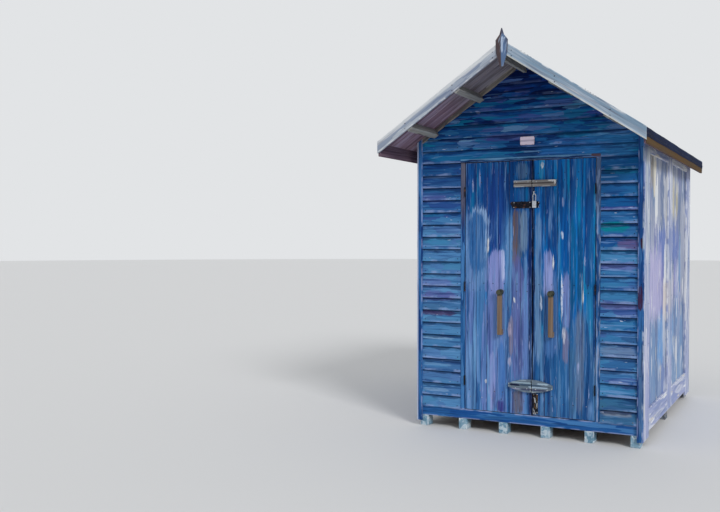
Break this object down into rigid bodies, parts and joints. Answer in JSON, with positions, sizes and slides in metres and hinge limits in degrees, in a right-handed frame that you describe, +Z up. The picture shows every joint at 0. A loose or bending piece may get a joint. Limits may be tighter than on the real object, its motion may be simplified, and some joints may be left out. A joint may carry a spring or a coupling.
{
  "type": "beach hut",
  "caption": "Painted timber beach hut on short feet with a gabled felt roof, deep front overhang, spear finial and a pair of outward-opening ledged doors.",
  "frame": {"origin": "on the ground in the hut's centre plane, halfway between the foremost and rearmost points of the roof", "axes": "+Z up, the front and its doors face -Y, +X is to the right when facing the doors"},
  "size_m": [2.008, 3.076, 3.041],
  "materials": {
    "bare_timber": "weathered bare softwood",
    "floor_timber": "worn bare floor boards",
    "blue_paint": "weathered cobalt blue paint on weatherboards",
    "door_paint": "worn streaky blue paint on upright boards",
    "white_paint": "weathered white paint",
    "grey_white_paint": "weathered grey-white paint",
    "grey_blue_paint": "weathered grey-blue paint",
    "soffit_paint": "weathered plum-brown stain",
    "bar_timber": "bare grey-green weathered timber",
    "grip_timber": "worn ochre-brown timber",
    "felt": "navy-black mineral roofing felt",
    "iron": "black iron with rust",
    "steel": "bright worn steel"
  },
  "bodies": {
    "hut": {"feet": "bare_timber", "floor_joists": "bare_timber", "floor": "floor_timber", "sill_boards": "blue_paint", "wall_studs": "bare_timber", "wall_plates": "bare_timber", "door_posts": "blue_paint", "head_rails": "bare_timber", "gable_rafters": "bare_timber", "front_wall_left": "blue_paint", "front_wall_right": "blue_paint", "front_gable": "blue_paint", "rain_board": "blue_paint", "rear_wall": "blue_paint", "left_wall": "white_paint", "right_wall": "white_paint", "side_stiles": "white_paint", "side_rails": "white_paint", "corner_boards": "blue_paint", "gable_fillets": "soffit_paint", "ridge_board": "soffit_paint", "purlins": "soffit_paint", "roof_boards_left": "soffit_paint", "roof_boards_right": "soffit_paint", "roof_felt": "felt", "ridge_felt": "felt", "front_bargeboards": "grey_white_paint", "rear_bargeboards": "grey_white_paint", "finial": "grey_blue_paint", "eave_boards": "soffit_paint", "frame_hinges": "iron"},
    "left_door": {"door_left": "door_paint", "door_left_ledges": "bare_timber", "door_left_hinges": "iron", "door_left_bars": "bar_timber", "door_left_handle": "grip_timber", "pad_bolt": "iron"},
    "right_door": {"door_right": "door_paint", "door_right_ledges": "bare_timber", "door_right_hinges": "iron", "door_right_bars": "bar_timber", "door_right_handle": "grip_timber", "bolt_keep": "iron", "lock_staple": "steel", "padlock": "steel", "drop_bolt": "iron"}
  },
  "joints": [
    {"name": "left_door_hinge", "type": "hinge", "parent": "hut", "child": "left_door", "pos_m": [-0.4875, -0.969, 1.154], "axis": [0, 0, -1], "range_deg": [0, 160]},
    {"name": "right_door_hinge", "type": "hinge", "parent": "hut", "child": "right_door", "pos_m": [0.5475, -0.969, 1.154], "axis": [0, 0, 1], "range_deg": [0, 160]}
  ]
}
